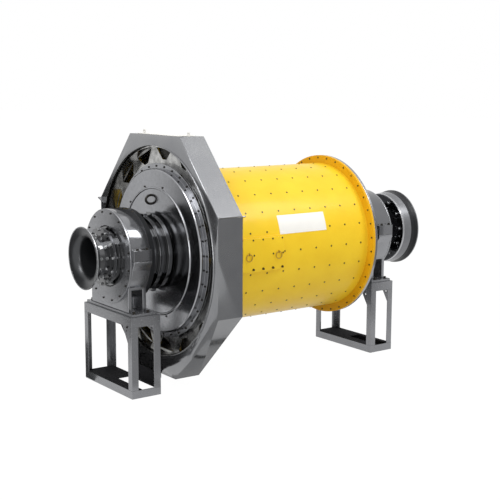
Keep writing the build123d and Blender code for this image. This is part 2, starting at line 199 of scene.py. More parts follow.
def swept(path: np.ndarray, radius: float, across: Triple, sides: int = 8, closed: bool = False) -> Shape:
    """Carries a circle along a flat path: P(i, s) = path_i + radius (cos s U_i + sin s V_i).

    U_i and V_i stand square to the path.

    Args:
        path: Points of the path, one row each.
        radius: Radius of the circle.
        across: The direction square to the path's plane.
        sides: Points round the circle.
        closed: Whether the path's end joins its start.

    Returns:
        The tube, with flat ends where the path is open.
    """
    ahead = np.roll(path, -1, 0) - np.roll(path, 1, 0)
    if not closed:
        ahead[0], ahead[-1] = path[1] - path[0], path[-1] - path[-2]
    ahead = unit(ahead)
    u = unit(np.cross([across], ahead))
    v = np.cross(ahead, u)
    s = np.linspace(0, ALL_ROUND, sides, endpoint=False)[None, :, None]
    points = path[:, None] + radius * (np.cos(s) * u[:, None] + np.sin(s) * v[:, None])
    faces = [grid_faces(len(path), sides, closed, True)[:, ::-1]]
    if not closed:
        ring = np.arange(sides)[None]
        faces += [ring[:, ::-1], ring + (len(path) - 1) * sides]
    return Shape(points.reshape(-1, 3), faces)


def slab(top: np.ndarray, bottom: np.ndarray) -> Shape:
    """Closes two grids of points, one above the other, into a plate with walls round its edge.

    Args:
        top: Outer grid, (rows, columns, 3).
        bottom: Inner grid of the same shape.

    Returns:
        The closed plate.
    """
    rows, columns = top.shape[:2]
    count = rows * columns
    index = np.arange(count).reshape(rows, columns)
    loop = np.concatenate([index[0, :-1], index[:-1, -1], index[-1, :0:-1], index[:0:-1, 0]])
    after = np.roll(loop, -1)
    face = grid_faces(rows, columns, False, False)
    wall = np.stack([loop, after, after + count, loop + count], -1)
    points = np.concatenate([top.reshape(-1, 3), bottom.reshape(-1, 3)])
    shape = Shape(points, [face, face[:, ::-1] + count, wall])
    p = points[face[0]]
    normal = np.cross(p[1] - p[0], p[3] - p[0])
    if normal @ (top[0, 0] - bottom[0, 0]) < 0:
        shape.faces = [part[:, ::-1] for part in shape.faces]
    return shape


def block(low: Triple, high: Triple) -> Shape:
    """A box between two opposite corners."""
    x, y = np.meshgrid([low[0], high[0]], [low[1], high[1]], indexing="ij")
    return slab(np.stack([x, y, 0 * x + high[2]], -1), np.stack([x, y, 0 * x + low[2]], -1))


def around(count: int, radius: float, x: float, phase: float) -> np.ndarray:
    """Points of a bolt circle about the mill axis: (x, -r cos a, r sin a), a = phase + 360 k / count.

    Args:
        count: Number of points.
        radius: Radius of the circle in millimetres.
        x: Place along the mill axis.
        phase: Angle of the first point in degrees, up from -Y.

    Returns:
        One row for each point.
    """
    a = radians(phase) + ALL_ROUND * np.arange(count) / count
    return np.stack([np.full(count, x), -radius * np.cos(a), radius * np.sin(a)], -1)


def four(x: Pair, y: float, z: float) -> np.ndarray:
    """Four points at one height, on both sides of the mill's middle plane at each of two places along it."""
    return np.array([(place, way * y, z) for place in x for way in (-1, 1)])


def outward(points: np.ndarray) -> np.ndarray:
    """Unit directions that point straight away from the mill axis at each point."""
    return unit(points * [0, 1, 1])


def bolts(points: np.ndarray, normal: np.ndarray | Triple, across: float, height: float) -> Shape:
    """Hexagon heads on round washers, one at each point and square to its normal.

    A head is a stack of rings along its normal: washer foot, washer rim, hexagon foot, hexagon
    shoulder, and a smaller hexagon on top for the chamfer.

    Args:
        points: Places of the bolts, one row each.
        normal: Unit direction in which the heads stand up, one for all or a row for each.
        across: Width of the hexagon over its corners.
        height: Height of the head.

    Returns:
        All the heads as one shape.
    """
    foot, washer, seat, shoulder, crown = -2.0, 1.25 * across, 0.15 * height, 0.8 * height, 0.82 * across
    rings = []
    for count, width, level in ((12, washer, foot), (12, washer, seat), (6, across, seat), (6, across, shoulder),
                                (6, crown, height)):
        s = ALL_ROUND * np.arange(count) / count
        rings.append(np.stack([width / 2 * np.cos(s), width / 2 * np.sin(s), np.full(count, level)], -1))
    base = np.concatenate(rings)
    walls = []
    for count, lower, upper in ((12, 0, 12), (6, 24, 30), (6, 30, 36)):
        k = np.arange(count)
        walls.append(np.stack([lower + k, lower + (k + 1) % count, upper + (k + 1) % count, upper + k], -1))
    polygons = walls + [np.arange(12, 24)[None], np.arange(36, 42)[None]]

    normals = np.broadcast_to(np.asarray(normal, float), points.shape)
    guide = np.where(np.abs(normals[:, :1]) > 0.9, [[0, 0, 1.0]], [[1.0, 0, 0]])
    u = unit(np.cross(guide, normals))
    axes = np.stack([u, np.cross(normals, u), normals], 1)
    placed = points[:, None] + base @ axes
    starts = (np.arange(len(points)) * len(base))[:, None, None]
    faces = [(polygon[None] + starts).reshape(-1, polygon.shape[1]) for polygon in polygons]
    return Shape(placed.reshape(-1, 3), faces)


# Finishes


def linear(hex_colour: str) -> tuple[float, float, float, float]:
    """Turns an sRGB hex colour into linear light.

    Args:
        hex_colour: Six hex digits after a hash sign.

    Returns:
        Red, green, blue and an alpha of 1.
    """
    srgb = np.array([int(hex_colour[i : i + 2], 16) for i in (1, 3, 5)]) / 255
    light = np.where(srgb <= 0.04045, srgb / 12.92, ((srgb + 0.055) / 1.055) ** 2.4)
    return (*light.tolist(), 1.0)


def add_node(tree: bpy.types.NodeTree, kind: str, inputs: dict | None = None, **settings) -> bpy.types.Node:
    """Adds a node to a tree.

    Args:
        tree: The node tree.
        kind: The node's type name.
        inputs: A value or an output socket for each named or numbered input.
        **settings: The node's own properties.

    Returns:
        The new node.
    """
    node = tree.nodes.new(kind)
    for key, value in settings.items():
        setattr(node, key, value)
    for key, value in (inputs or {}).items():
        if isinstance(value, bpy.types.NodeSocket):
            tree.links.new(value, node.inputs[key])
        else:
            node.inputs[key].default_value = value
    return node


def emptied(owner: bpy.types.Material | bpy.types.World) -> bpy.types.NodeTree:
    """Turns on the nodes of a material or world, and takes them all out.

    Args:
        owner: The material or world.

    Returns:
        Its empty tree.
    """
    owner.use_nodes = True
    owner.node_tree.nodes.clear()
    return owner.node_tree


def per_metre(size_mm: float) -> float:
    """Noise scale that gives blotches of a size in millimetres on Object coordinates in metres."""
    return 1000 / size_mm


@dataclass(frozen=True)
class Finish:
    """A painted or bare metal: two close colours in soft clouds, a surface grain, and a gloss."""

    name: str
    colour: str
    shade: str
    roughness: float = 0.35
    metallic: float = 0.0
    specular: float = 0.5
    coat: float = 0.0
    coat_roughness: float = 0.05
    cloud_mm: float = 420.0
    grain_mm: float = 14.0
    grain_depth_mm: float = 0.12
    wave_mm: float = 380.0
    wave_depth_mm: float = 0.0
    stretch: Triple = (1.0, 1.0, 1.0)

    def material(self) -> bpy.types.Material:
        """Builds the material once and returns it afterwards.

        Returns:
            The node material.
        """
        known = bpy.data.materials.get(self.name)
        if known:
            return known
        made = bpy.data.materials.new(self.name)
        tree = emptied(made)
        place = add_node(tree, "ShaderNodeTexCoord").outputs["Object"]
        grain_place = add_node(tree, "ShaderNodeMapping", {"Vector": place, "Scale": self.stretch}).outputs["Vector"]
        cloud, grain, wave = (
            add_node(tree, "ShaderNodeTexNoise",
                     {"Vector": vector, "Scale": per_metre(size), "Detail": detail, "Roughness": blend})
            for vector, size, detail, blend in ((place, self.cloud_mm, 4.0, 0.55),
                                                (grain_place, self.grain_mm, 2.0, 0.5),
                                                (place, self.wave_mm, 0.0, 0.5)))
        spread = add_node(tree, "ShaderNodeMapRange", {"Value": cloud.outputs["Fac"], "From Min": 0.3, "From Max": 0.7})
        tint = add_node(tree, "ShaderNodeMix", {"Factor": spread.outputs["Result"], 6: linear(self.shade),
                                                7: linear(self.colour)}, data_type="RGBA")
        matt = add_node(tree, "ShaderNodeMapRange", {"Value": grain.outputs["Fac"], "From Min": 0.3, "From Max": 0.7,
                                                     "To Min": 0.85 * self.roughness, "To Max": 1.15 * self.roughness})
        bump = add_node(tree, "ShaderNodeBump", {"Height": grain.outputs["Fac"], "Strength": 1.0,
                                                 "Distance": self.grain_depth_mm / 1000})
        if self.wave_depth_mm:
            bump = add_node(tree, "ShaderNodeBump", {"Height": wave.outputs["Fac"], "Strength": 1.0,
                                                     "Distance": self.wave_depth_mm / 1000,
                                                     "Normal": bump.outputs["Normal"]})
        shader = add_node(tree, "ShaderNodeBsdfPrincipled", {
            "Base Color": tint.outputs[2], "Roughness": matt.outputs["Result"], "Normal": bump.outputs["Normal"],
            "Metallic": self.metallic, "Specular IOR Level": self.specular, "Coat Weight": self.coat,
            "Coat Roughness": self.coat_roughness})
        add_node(tree, "ShaderNodeOutputMaterial", {"Surface": shader.outputs["BSDF"]})
        return made


# Sprayed two-part enamel on rolled plate: a soft gloss with a faint orange peel.
YELLOW_ENAMEL = Finish("yellow_enamel", "#eec82c", "#e8bf26", roughness=0.36, specular=0.15, coat=0.07,
                       coat_roughness=0.12, wave_depth_mm=0.5)
# The drum's enamel on the discharge flange, painted darker and more orange: a painted reflection of the yellow shell on
# it.
FLANGE_REFLECTION_ENAMEL = Finish("flange_enamel_painted_reflection", "#e0ab1b", "#d9a116", roughness=0.4, specular=0.12, wave_depth_mm=0.4)
# The same enamel on the lifting rings, painted darker: painted shade on the thin rings.
SHADED_YELLOW = Finish("yellow_enamel_painted_shade", "#bd9522", "#a8841d", roughness=0.4, grain_mm=8.0)
# A hard grey metallic enamel on folded sheet, which is never quite flat, so reflections wander.
GREY_ENAMEL = Finish("grey_enamel", "#828385", "#7a7b7e", roughness=0.16, metallic=0.8, coat=0.4, coat_roughness=0.04,
                     grain_depth_mm=0.02, wave_depth_mm=0.9, wave_mm=560.0)
# The guard's unlit inside, under old gear grease, and painted dark as painted shade inside the casing.
GREASE_AND_SHADE_SHEET = Finish("greased_guard_sheet_painted_shade", "#403e39", "#1d1c1a", roughness=0.2, metallic=0.8, cloud_mm=160.0,
                       grain_mm=40.0, wave_depth_mm=1.2)
# The same enamel over welded sections: less gloss, as sprayed over mill scale.
STAND_ENAMEL = Finish("stand_enamel", "#88898c", "#7f8083", roughness=0.24, metallic=0.75, coat=0.3, coat_roughness=0.1,
                      grain_depth_mm=0.03, wave_depth_mm=0.4)
# Near-black enamel over a machined casting: a thick wet gloss.
DARK_CASTING = Finish("dark_enamelled_casting", "#545557", "#4b4c4e", roughness=0.10, metallic=1.0, coat=1.0,
                      coat_roughness=0.03, grain_mm=30.0, grain_depth_mm=0.004, wave_depth_mm=0.7)
# The heads' enamel is thinner and shows the casting's sheen.
HEAD_CASTING = Finish("enamelled_head_casting", "#9b9c9f", "#959699", roughness=0.2, metallic=1.0,
                      grain_mm=60.0, grain_depth_mm=0.001, wave_depth_mm=0.4)
GREY_CASTING = Finish("grey_enamelled_casting", "#68696c", "#616265", roughness=0.08, metallic=0.7, coat=0.6,
                      coat_roughness=0.04, grain_mm=30.0, grain_depth_mm=0.01, wave_depth_mm=0.8)
# The flat faces of covers and pedestals, which were filled and rubbed down before they were sprayed.
FLAT_CASTING = Finish("rubbed_grey_casting", "#8e8f92", "#858689", roughness=0.18, metallic=0.85, coat=0.3,
                      coat_roughness=0.06, grain_mm=30.0, grain_depth_mm=0.01, wave_depth_mm=0.8)
# Dark enamel sprayed on thin rolled plate: a softer sheen. Where it lines the trunnion tubes' bores, it is painted
# shade.
DARK_ENAMEL_AND_BORE_SHADE = Finish("dark_enamel_and_painted_bore_shade", "#242527", "#1e1f21", roughness=0.45, metallic=0.2, specular=0.2,
                     grain_depth_mm=0.01)
# The feed bell's rolled sheet, in a dark grey.
BELL_ENAMEL = Finish("dark_bell_enamel", "#454648", "#3d3e40", roughness=0.34, metallic=0.7, coat=0.1,
                     coat_roughness=0.2, grain_depth_mm=0.01)
# The screen ring: grey enamel that dust has dulled.
DULL_ENAMEL = Finish("dull_grey_enamel", "#7a7b7e", "#717275", roughness=0.34, metallic=0.7, coat=0.1,
                     coat_roughness=0.2, grain_depth_mm=0.02)
# Turned steel: bright, with fine tool marks that run round the axis.
TURNED_STEEL = Finish("turned_steel", "#b4b5b7", "#a5a6a8", roughness=0.2, metallic=1.0, grain_mm=10.0,
                      grain_depth_mm=0.05, stretch=(1.0, 0.06, 0.06))
# Cast gear steel under a film of dark grease.
GEAR_STEEL = Finish("greased_gear_steel", "#c6c6c4", "#6c6c6b", roughness=0.18, metallic=0.95, coat=0.6,
                    coat_roughness=0.06, cloud_mm=130.0, grain_mm=24.0, grain_depth_mm=0.1, wave_mm=220.0,
                    wave_depth_mm=1.5)
# The stands' decks and the sills' inward faces, under old grease, and painted near black as painted shade inside the
# stand.
GREASE_AND_SHADE_DECK = Finish("greased_deck_painted_shade", "#29292b", "#202022", roughness=0.8, specular=0.05, grain_mm=40.0)
BEARING_BRONZE = Finish("bearing_bronze", "#a07b45", "#8d6a38", roughness=0.28, metallic=1.0)
LINER_IRON = Finish("white_iron_liner", "#3a3937", "#2f2e2c", roughness=0.6, metallic=0.3, grain_mm=22.0,
                    grain_depth_mm=0.6)
# Black-oxide fasteners: nearly black with a dull sheen.
BLACK_BOLT = Finish("black_oxide_bolt", "#26231d", "#1d1b17", roughness=0.3, metallic=0.6, grain_mm=8.0)
# Fasteners under the drum's enamel, dark where it has chipped.
PAINTED_BOLT = Finish("chipped_bolt", "#57491c", "#463a15", roughness=0.4, metallic=0.1, specular=0.3, grain_mm=8.0)
ZINC_BOLT = Finish("zinc_plated_bolt", "#a8a9a9", "#97989a", roughness=0.2, metallic=1.0, grain_mm=8.0)
# Pale enamel: the bare shell plate's own colour. On the guard's top cover and lugs it is painted light, and on the edge
# strip a painted highlight.
PALE_PLATE_AND_PAINTED_LIGHT = Finish("pale_enamel_and_painted_light", "#eceae4", "#e4e2dc", roughness=0.4, coat=0.3, coat_roughness=0.1)


# Pieces


def link(name: str, data: bpy.types.ID) -> bpy.types.Object:
    """Puts a new object into the scene, at the origin.

    Args:
        name: Its name.
        data: Its mesh, lamp or camera.

    Returns:
        The object.
    """
    made = bpy.data.objects.new(name, data)
    bpy.context.scene.collection.objects.link(made)
    return made


def smooth(mesh: bpy.types.Mesh, crease: float) -> None:
    """Shades a mesh smooth, but for edges that turn by more than a crease angle in degrees."""
    mesh.shade_smooth()
    mesh.set_sharp_from_angle(angle=radians(crease))


def settle(piece: bpy.types.Object, body: Body, node: str, keep_sharp: bool = True) -> None:
    """Evens a piece's shading out, and tells the frame what it rides on and what it stands for.

    Args:
        piece: The piece.
        body: The CAD body that it rides on.
        node: The CAD node that it stands for, or nothing.
        keep_sharp: Whether its sharp edges stay sharp.
    """
    weigh = piece.modifiers.new("weigh", "WEIGHTED_NORMAL")
    weigh.keep_sharp = keep_sharp
    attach(piece, body.value)
    if node:
        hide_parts(node)
    log.info("%s rides on %s with %d faces", piece.name, body.value, len(piece.data.polygons))


def add_piece(name: str, shape: Shape, body: Body, finish: Finish, node: str = "",
              lining: Finish | None = None) -> None:
    """Puts a shape into the scene as a finished piece at the origin.

    Args:
        name: The piece's name.
        shape: Its points and faces in the mill frame.
        body: The CAD body that it rides on.
        finish: Its finish.
        node: The CAD node that it stands for, or nothing.
        lining: Finish of the faces that look at the mill axis, if it differs.
    """
    mesh = bpy.data.meshes.new(name)
    polygons = [polygon for part in shape.faces for polygon in part.tolist()]
    mesh.from_pydata(to_part(shape.points).tolist(), [], polygons)
    mesh.validate()
    smooth(mesh, DRAWN_CREASE)
    mesh.materials.append(finish.material())
    if lining is not None:
        mesh.materials.append(lining.material())
        for polygon in mesh.polygons:
            spoke = (polygon.center - Vector(MILL_ORIGIN / 1000)) * Vector((0, 1, 1))
            polygon.material_index = int(polygon.normal.dot(spoke) < -0.5 * spoke.length)
    settle(link(name, mesh), body, node)


def softened(node: str, body: Body, finish: Finish, width: float, segments: int = 2,
             outline: np.ndarray | None = None, lining: Finish | None = None,
             heart: Triple = (0.0, 0.0, 0.0)) -> None:
    """Copies a CAD node with its edges rounded, or chamfered by one segment, and lets it stand for the node.

    Flat faces are merged first, so that their own edges stay out of it. A copy with an outline keeps
    the CAD's triangles, because the merged sides of a holed plate would be split anew across its hole.

    Args:
        node: The CAD node's name.
        body: The body that it rides on.
        finish: The copy's finish.
        width: Rounding width in millimetres.
        segments: Steps across each rounded edge.
        outline: Rows of (direction y, direction z, distance) of planes; where given, only an edge with
            both its ends on one of them is rounded.
        lining: Finish of the faces that look at the heart, if it differs.
        heart: A point in the mill frame inside a hollow node.
    """
    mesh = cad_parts[node].data.copy()
    mesh.name = f"{node}_dressed"
    mesh.materials.clear()
    mesh.materials.append(finish.material())
    middle = Vector(to_part(np.array(heart)))
    work = bmesh.new()
    work.from_mesh(mesh)
    bmesh.ops.remove_doubles(work, verts=work.verts, dist=SAME_PLACE)
    if outline is None:
        bmesh.ops.dissolve_limit(work, angle_limit=radians(FLAT), verts=work.verts, edges=work.edges)
    if lining is not None:
        mesh.materials.append(lining.material())
        for face in work.faces:
            face.material_index = int(face.normal.dot(middle - face.calc_center_median()) > 0)
    if outline is not None:
        weight = work.edges.layers.float.get("bevel_weight_edge") or work.edges.layers.float.new("bevel_weight_edge")
        origin = MILL_ORIGIN / 1000
        for edge in work.edges:
            if len(edge.link_faces) == 2 and edge.calc_face_angle() > radians(FOLD):
                ends = [(np.array(v.co) - origin)[1:] * 1000 for v in edge.verts]
                first, last = (np.abs(outline[:, :2] @ end - outline[:, 2]) < ON_PLANE for end in ends)
                edge[weight] = float((first & last).any())
    work.to_mesh(mesh)
    work.free()
    smooth(mesh, COPIED_CREASE)
    piece = link(mesh.name, mesh)
    bevel = piece.modifiers.new("soften", "BEVEL")
    bevel.width = width / 1000
    bevel.segments = segments
    bevel.limit_method = "ANGLE" if outline is None else "WEIGHT"
    bevel.angle_limit = radians(BEVEL_FROM)
    bevel.mark_sharp = segments == 1
    settle(piece, body, node, segments == 1)


@dataclass
class Drum:
    """The rolled shell with its bolting flanges, the liner bolts and a bare plate on its side."""

    radius: float = 1200.0
    bore: float = 1170.0
    half: float = 1542.0
    flange_radius: float = 1330.0
    flange: float = 45.0
    liner_circles: int = 10
    liner_pitch: float = 307.5
    liner_rows: int = 24
    row_phase: float = 0.6
    liner_bolt: Pair = (25.0, 7.0)
    flange_bolts: int = 36
    flange_bolt_circle: float = 1289.0
    flange_phase: float = 3.8
    flange_bolt: Pair = (24.0, 14.0)
    plate_x: Pair = (-222.0, 688.0)
    plate_angle: Pair = (13.0, 27.0)
    plate_layers: Pair = (1203.5, 1199.0)
    manhole_x: Pair = (-1000.0, -175.0)
    manhole_angle: Pair = (-14.0, 14.0)

    def shell(self) -> Shape:
        """The shell's wall."""
        return hoop((-self.half, self.half), (self.bore, self.radius), 1.0, DRUM_STEPS)

    def shell_flange(self) -> Shape:
        """One bolting flange."""
        return hoop((self.half, self.half + self.flange), (self.bore, self.flange_radius), 4.0, DRUM_STEPS)

    def liner_bolts(self) -> Shape:
        """The liner bolts: circles along the shell, rows round it, none under the manhole or the plate.

        Returns:
            The bolts' heads.
        """
        circles = (np.arange(self.liner_circles) - (self.liner_circles - 1) / 2) * self.liner_pitch
        points = np.concatenate([around(self.liner_rows, self.radius, x, self.row_phase) for x in circles])
        angle = np.degrees(np.arctan2(points[:, 2], -points[:, 1]))
        bare = np.full(len(points), False)
        for (x0, x1), (a0, a1) in ((self.manhole_x, self.manhole_angle), (self.plate_x, self.plate_angle)):
            bare |= (points[:, 0] > x0) & (points[:, 0] < x1) & (angle > a0) & (angle < a1)
        points = points[~bare]
        return bolts(points, outward(points), *self.liner_bolt)

    def bolts_of_flange(self) -> Shape:
        """Nuts on the shell side of one flange."""
        points = around(self.flange_bolts, self.flange_bolt_circle, self.half, self.flange_phase)
        return bolts(points, (-1, 0, 0), *self.flange_bolt)

    def bare_plate(self) -> Shape:
        """A plain curved plate: P(u, a) = (x, -r cos a, r sin a).

        Returns:
            The closed plate.
        """
        u = np.linspace(0, 1, 24)[:, None]
        a = np.radians(np.linspace(*self.plate_angle, 22))[None, :]
        x = self.plate_x[0] + (self.plate_x[1] - self.plate_x[0]) * u + 0 * a
        layers = [np.stack([x, -r * np.cos(a) + 0 * u, r * np.sin(a) + 0 * u], -1) for r in self.plate_layers]
        return slab(*layers)

    def build(self) -> None:
        """Adds the shell, its flanges, its bolts and the plate."""
        add_piece("shell_wall", self.shell(), Body.DRUM, YELLOW_ENAMEL, "drum_shell")
        for side in Side:
            end = side.name.lower()
            # The discharge flange's orange enamel is a painted reflection of the shell.
            finish, nuts = (DARK_CASTING, BLACK_BOLT) if side is Side.FEED else (FLANGE_REFLECTION_ENAMEL, PAINTED_BOLT)
            add_piece(f"{end}_flange_ring", self.shell_flange().at(side), Body.DRUM, finish,
                      f"{end}_shell_flange")
            add_piece(f"{end}_flange_nuts", self.bolts_of_flange().at(side), Body.DRUM, nuts)
        add_piece("liner_bolt_heads", self.liner_bolts(), Body.DRUM, PAINTED_BOLT)
        add_piece("bare_shell_plate", self.bare_plate(), Body.DRUM, PALE_PLATE_AND_PAINTED_LIGHT)


@dataclass
class Head:
    """A cast head with its boss, ridge ring and bolts, drawn for the discharge end."""

    seat: float = 1642.0
    face: float = 1712.0
    flange_face: float = 1632.0
    drum_end: float = 1587.0
    journal: float = 500.0
    boss: float = 1250.0
    bevel: float = 16.0
    rim: float = 1330.0
    liner_bore: float = 1170.0
    throat: float = 1110.0
    ridge: Pair = (946.0, 980.0)
    ridge_height: float = 16.0
    ridge_slope: float = 8.0
    flange_bolts: int = 36
    flange_bolt_circle: float = 1288.0
    flange_phase: float = 3.6
    inner_bolts: int = 12
    inner_bolt_circle: float = 1004.0
    inner_phase: float = 17.2
    bolt: Pair = (27.0, 14.0)
    eye: Pair = (112.0, 778.0)
    eye_seat: float = 12.0
    eye_reach: float = 92.0
    eye_rise: float = 66.0
    eye_wire: float = 19.0

    def casting(self) -> Shape:
        """The head's section turned about the axis.

        Returns:
            The closed casting.
        """
        (low, high), slope = self.ridge, self.ridge_slope
        top = self.face + self.ridge_height
        return turned([
            (self.seat, self.journal), (self.face, self.journal), (self.face, low), (top, low + slope),
            (top, high - slope), (self.face, high), (self.face, self.boss - self.bevel),
            (self.face - self.bevel, self.boss), (self.flange_face, self.boss), (self.flange_face, self.rim),
            (self.drum_end, self.rim), (self.drum_end, self.liner_bore), (self.seat, self.throat)], 5.0, DRUM_STEPS)

    def bolt_heads(self) -> Shape:
        """The rim's bolts and the ring of bolts inside the boss.

        Returns:
            The bolts' heads.
        """
        rim = around(self.flange_bolts, self.flange_bolt_circle, self.flange_face, self.flange_phase)
        inner = around(self.inner_bolts, self.inner_bolt_circle, self.face, self.inner_phase)
        return joined([bolts(points, (1, 0, 0), *self.bolt) for points in (rim, inner)])

    def lifting_bow(self) -> Shape:
        """The lifting bow: P(t) = (x0 + reach sin t, y, z + rise cos t), t from 0 to half a turn.

        Returns:
            The bow, with both ends seated in the head's face.
        """
        y, z = self.eye
        t = np.linspace(0, np.pi, 25)
        bow = np.stack([self.face + self.eye_reach * np.sin(t), y + 0 * t, z + self.eye_rise * np.cos(t)], -1)
        seat = [self.eye_seat, 0, 0]
        bow = np.concatenate([[bow[0] - seat], bow, [bow[-1] - seat]])
        return swept(bow, self.eye_wire, (0, 1, 0), 12)

    def build(self, side: Side) -> None:
        """Adds the head and its bolts at one end, and the lifting bow on the feed head.

        Args:
            side: The end.
        """
        end = side.name.lower()
        if side is Side.FEED:
            add_piece("head_lifting_bow", self.lifting_bow().at(side), Body.DRUM, BLACK_BOLT, "head_lifting_eye")
        add_piece(f"{end}_head_casting", self.casting().at(side), Body.DRUM, HEAD_CASTING, f"{end}_head")
        add_piece(f"{end}_head_bolts", self.bolt_heads().at(side), Body.DRUM, BLACK_BOLT)


@dataclass
class Trunnion:
    """A hollow trunnion with its collars, neck, mouth and clamp rings, drawn for the discharge end."""

    seat: float = 1642.0
    face: float = 1712.0
    journal: float = 500.0
    bore: float = 410.0
    bore_stop: float = 60.0
    fillet: float = 44.0
    journal_end: float = 2460.0
    collars: tuple[Pair, ...] = ((505.0, 10.0), (480.0, 22.0), (450.0, 34.0), (440.0, 76.0))
    tube: float = 318.0
    throat: float = 290.0
    throat_ring: float = 30.0
    neck: float = 375.0
    neck_flange: float = 430.0
    neck_end: float = 2630.0
    flange: float = 22.0
    mouth_face: float = 2653.0
    wall: float = 14.0
    feed_bell: float = 2820.0
    feed_reach: float = 2936.0
    feed_rise: float = 143.0
    bell_sweep: float = 72.0
    bell_steps: int = 18
    discharge_back: float = 2906.0
    back_plate: float = 20.0
    discharge_body: float = 3081.0
    discharge_lip: float = 3210.0
    discharge_reach: float = 3231.0
    screen: Triple = (596.0, 619.0, 645.0)
    bolt_count: int = 12
    bolt_phase: float = 4.3
    flange_bolt_circle: float = 400.0
    flange_bolt: Pair = (40.0, 26.0)
    neck_rows: Pair = (2708.0, 2803.0)
    neck_bolt: Pair = (38.0, 26.0)
    screen_bolt_circle: float = 510.0
    screen_bolt: Pair = (44.0, 30.0)

    def trunnion(self) -> Shape:
        """Journal with its root fillet, thrust collar and steps, the neck and its flange.

        Returns:
            The turned shape.
        """
        step, end = 0.3 * self.fillet, self.journal_end
        flange_back = self.neck_end - self.flange
        section = [(self.seat, self.bore), (self.seat, self.journal), (self.face, self.journal),
                   (self.face, self.journal + self.fillet), (self.face + step, self.journal + step),
                   (self.face + self.fillet, self.journal), (end, self.journal)]
        start = 0.0
        for radius, reach in self.collars:
            section += [(end + start, radius), (end + reach, radius)]
            start = reach
        section += [(end + start, self.neck), (flange_back, self.neck), (flange_back, self.neck_flange),
                    (self.neck_end, self.neck_flange), (self.neck_end, self.tube), (end - self.bore_stop, self.tube),
                    (end - self.bore_stop, self.bore)]
        return turned(section, 4.0)

    def inside(self) -> list[Pair]:
        """The part of a mouth's section that lines the trunnion, out to its bolting flange.

        Returns:
            Its corners.
        """
        ring = self.seat + self.throat_ring
        return [(self.seat, self.throat), (self.seat, self.bore), (ring, self.bore), (ring, self.tube),
                (self.neck_end, self.tube), (self.neck_end, self.neck_flange), (self.mouth_face, self.neck_flange),
                (self.mouth_face, self.tube)]

    def bell(self) -> list[Pair]:
        """The bell's section: x = start + L sin q / sin Q, r = r0 + rise (1 - cos q) / (1 - cos Q), q from 0 to Q.

        Returns:
            Its corners, along the outside and back along the inside.
        """
        sweep = radians(self.bell_sweep)
        q = np.linspace(0, sweep, self.bell_steps)
        x = self.feed_bell + (self.feed_reach - self.feed_bell) * np.sin(q) / np.sin(sweep)
        swell = (1 - np.cos(q)) / (1 - np.cos(sweep))
        outside = np.stack([x, self.tube + self.feed_rise * swell], -1)
        inside = np.stack([x, self.throat + (self.feed_rise + self.tube - self.throat - self.wall) * swell], -1)
        return [*map(tuple, outside), *map(tuple, inside[::-1])]

    def feed_rings(self) -> dict[str, tuple]:
        """The tube that lines the feed trunnion, the bell, and the bright turned edge round it.

        Returns:
            A section, a rounding and a finish for each name.
        """
        end, x, r = self.feed_bell, self.feed_reach, self.tube + self.feed_rise
        edge = [(x - 4, r - self.wall), (x + 5, r - self.wall), (x + 5, r + 2), (x - 10, r + 2)]
        return {"mouth_turned": ([*self.inside(), (end, self.tube), (end, self.throat)], 2.0, DARK_CASTING),
                "bell": (self.bell(), 3.0, BELL_ENAMEL), "bell_rim": (edge, 2.0, TURNED_STEEL)}

    def discharge_rings(self) -> dict[str, tuple]:
        """The discharge tube and its back plate, the ring round it with its bright edge, the flare and the lip.

        Returns:
            A section, a rounding and a finish for each name.
        """
        back, body, lip, end = self.discharge_back, self.discharge_body, self.discharge_lip, self.discharge_reach
        w, plate, middle = self.wall, back + self.back_plate, (body + lip) / 2
        r0, r1, r3 = self.screen
        r2 = r1 + (r3 - r1) / 4
        tube = [*self.inside(), (back, self.tube), (back, r0 - 2), (plate, r0 - 2), (plate, self.throat)]
        edge = [(back - 3, r0 - w), (back - 3, r0 + 2), (back + 30, r0 + 6), (back + 30, r0 - w)]
        ring = [(back, r0 - w), (back, r0), (body, r1), (body, r1 - w)]
        flare = [(body, r1 - w), (body, r1), (middle, r2), (lip, r3), (lip, r3 - w), (middle, r2 - w)]
        return {"mouth_turned": (tube, 3.0, DARK_CASTING), "screen_edge": (edge, 2.0, TURNED_STEEL),
                "screen_ring": (ring, 2.0, DULL_ENAMEL), "flare": (flare, 2.0, DARK_ENAMEL_AND_BORE_SHADE),
                "lip": ([(lip, r3 - w), (lip, r3), (end, r3), (end, r3 - w)], 3.0, DULL_ENAMEL)}

    def bolt_heads(self, side: Side) -> Shape:
        """Bolts before and behind the flanges, two rows round the neck, and those of the screen's back plate.

        Args:
            side: The end; only the discharge end has a screen.

        Returns:
            The bolts as they stand at that end.
        """
        count, phase = self.bolt_count, self.bolt_phase
        shapes = [bolts(around(count, self.flange_bolt_circle, x, phase), (way, 0, 0), *self.flange_bolt)
                  for x, way in ((self.mouth_face, 1), (self.neck_end - self.flange, -1))]
        rows = [around(count, self.tube, x, phase) for x in self.neck_rows]
        shapes += [bolts(row, outward(row), *self.neck_bolt) for row in rows]
        if side is Side.DISCHARGE:
            ring = around(count, self.screen_bolt_circle, self.discharge_back, phase)
            shapes.append(bolts(ring, (-1, 0, 0), *self.screen_bolt))
        return joined(shapes).at(side)

    def build(self, side: Side) -> None:
        """Adds the trunnion, mouth and bolts at one end.

        Args:
            side: The end.
        """
        end = side.name.lower()
        add_piece(f"{end}_trunnion_turned", self.trunnion().at(side), Body.DRUM, DARK_CASTING, f"{end}_trunnion")
        rings = self.feed_rings() if side is Side.FEED else self.discharge_rings()
        for name, (section, rounding, finish) in rings.items():
            # The tube's faces that look at the axis are lined near black: painted shade in the bore.
            node, lining = (f"{end}_mouth", DARK_ENAMEL_AND_BORE_SHADE) if name == "mouth_turned" else ("", None)
            add_piece(f"{end}_{name}", turned(section, rounding, RING_STEPS).at(side), Body.DRUM, finish, node,
                      lining=lining)
        add_piece(f"{end}_neck_bolts", self.bolt_heads(side), Body.DRUM, ZINC_BOLT)
        softened(f"{end}_trunnion_rings", Body.DRUM, DARK_CASTING, 8.0, 3)


